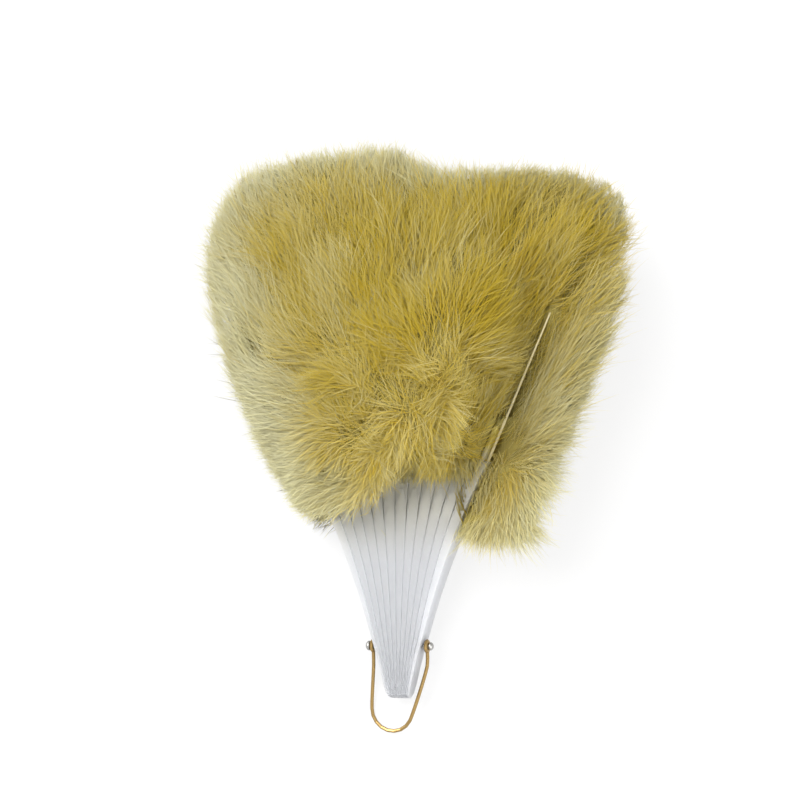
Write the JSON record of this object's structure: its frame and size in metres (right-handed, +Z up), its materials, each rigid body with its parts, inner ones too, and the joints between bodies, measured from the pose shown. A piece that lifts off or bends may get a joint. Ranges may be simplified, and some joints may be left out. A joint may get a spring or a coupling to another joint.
{
  "type": "feather fan",
  "caption": "Folding hand fan of plastic staves on one pin, each with a downy feather plume, and a wire bail hinged on the pin's ends; shown closed and lying on its side.",
  "frame": {"origin": "on the table, under the middle of the closed fan's bounding box", "axes": "+Y from the bail to the feather tips, +X to the right seen from above with the bail nearest, +Z up from the table"},
  "size_m": [0.2094, 0.2822, 0.0888],
  "materials": {
    "stave": "milky, slightly translucent, satin",
    "quill": "pale horn, satin",
    "down": "matte downy feather, olive gold",
    "pin": "dull grey metal",
    "wire": "gold coloured drawn wire"
  },
  "bodies": {
    "first_blade": {"stave_01": "stave", "quill_01": "quill", "plume_01": "down", "plume_outer": "down", "pivot_pin": "pin", "pin_cap": "pin"},
    "blade_02": {"stave_02": "stave", "quill_02": "quill", "plume_02": "down"},
    "blade_03": {"stave_03": "stave", "quill_03": "quill", "plume_03": "down"},
    "blade_04": {"stave_04": "stave", "quill_04": "quill", "plume_04": "down"},
    "blade_05": {"stave_05": "stave", "quill_05": "quill", "plume_05": "down"},
    "blade_06": {"stave_06": "stave", "quill_06": "quill", "plume_06": "down"},
    "blade_07": {"stave_07": "stave", "quill_07": "quill", "plume_07": "down"},
    "blade_08": {"stave_08": "stave", "quill_08": "quill", "plume_08": "down"},
    "blade_09": {"stave_09": "stave", "quill_09": "quill", "plume_09": "down"},
    "blade_10": {"stave_10": "stave", "quill_10": "quill", "plume_10": "down"},
    "blade_11": {"stave_11": "stave", "quill_11": "quill", "plume_11": "down"},
    "blade_12": {"stave_12": "stave", "quill_12": "quill", "plume_12": "down"},
    "bail": {"wire_bail": "wire"}
  },
  "joints": [
    {"name": "fan_open", "type": "hinge", "parent": "first_blade", "child": "blade_12", "pos_m": [-0.00635, -0.10111, 0.01202], "axis": [0.9397, -0.0358, 0.3401], "range_deg": [0, 132]},
    {"name": "blade_02_open", "type": "hinge", "parent": "first_blade", "child": "blade_02", "pos_m": [-0.00635, -0.10111, 0.01202], "axis": [0.9397, -0.0358, 0.3401], "range_deg": [0, 12]},
    {"name": "blade_03_open", "type": "hinge", "parent": "first_blade", "child": "blade_03", "pos_m": [-0.00635, -0.10111, 0.01202], "axis": [0.9397, -0.0358, 0.3401], "range_deg": [0, 24]},
    {"name": "blade_04_open", "type": "hinge", "parent": "first_blade", "child": "blade_04", "pos_m": [-0.00635, -0.10111, 0.01202], "axis": [0.9397, -0.0358, 0.3401], "range_deg": [0, 36]},
    {"name": "blade_05_open", "type": "hinge", "parent": "first_blade", "child": "blade_05", "pos_m": [-0.00635, -0.10111, 0.01202], "axis": [0.9397, -0.0358, 0.3401], "range_deg": [0, 48]},
    {"name": "blade_06_open", "type": "hinge", "parent": "first_blade", "child": "blade_06", "pos_m": [-0.00635, -0.10111, 0.01202], "axis": [0.9397, -0.0358, 0.3401], "range_deg": [0, 60]},
    {"name": "blade_07_open", "type": "hinge", "parent": "first_blade", "child": "blade_07", "pos_m": [-0.00635, -0.10111, 0.01202], "axis": [0.9397, -0.0358, 0.3401], "range_deg": [0, 72]},
    {"name": "blade_08_open", "type": "hinge", "parent": "first_blade", "child": "blade_08", "pos_m": [-0.00635, -0.10111, 0.01202], "axis": [0.9397, -0.0358, 0.3401], "range_deg": [0, 84]},
    {"name": "blade_09_open", "type": "hinge", "parent": "first_blade", "child": "blade_09", "pos_m": [-0.00635, -0.10111, 0.01202], "axis": [0.9397, -0.0358, 0.3401], "range_deg": [0, 96]},
    {"name": "blade_10_open", "type": "hinge", "parent": "first_blade", "child": "blade_10", "pos_m": [-0.00635, -0.10111, 0.01202], "axis": [0.9397, -0.0358, 0.3401], "range_deg": [0, 108]},
    {"name": "blade_11_open", "type": "hinge", "parent": "first_blade", "child": "blade_11", "pos_m": [-0.00635, -0.10111, 0.01202], "axis": [0.9397, -0.0358, 0.3401], "range_deg": [0, 120]},
    {"name": "bail_swing", "type": "hinge", "parent": "first_blade", "child": "bail", "pos_m": [-0.00635, -0.10111, 0.01202], "axis": [0.9397, -0.0358, 0.3401], "range_deg": [0, 110]}
  ],
  "couplings": [
    {"joint": "blade_02_open", "follows": "fan_open", "ratio": 0.090909},
    {"joint": "blade_03_open", "follows": "fan_open", "ratio": 0.18182},
    {"joint": "blade_04_open", "follows": "fan_open", "ratio": 0.27273},
    {"joint": "blade_05_open", "follows": "fan_open", "ratio": 0.36364},
    {"joint": "blade_06_open", "follows": "fan_open", "ratio": 0.45454},
    {"joint": "blade_07_open", "follows": "fan_open", "ratio": 0.54545},
    {"joint": "blade_08_open", "follows": "fan_open", "ratio": 0.63636},
    {"joint": "blade_09_open", "follows": "fan_open", "ratio": 0.72727},
    {"joint": "blade_10_open", "follows": "fan_open", "ratio": 0.81818},
    {"joint": "blade_11_open", "follows": "fan_open", "ratio": 0.90909}
  ]
}
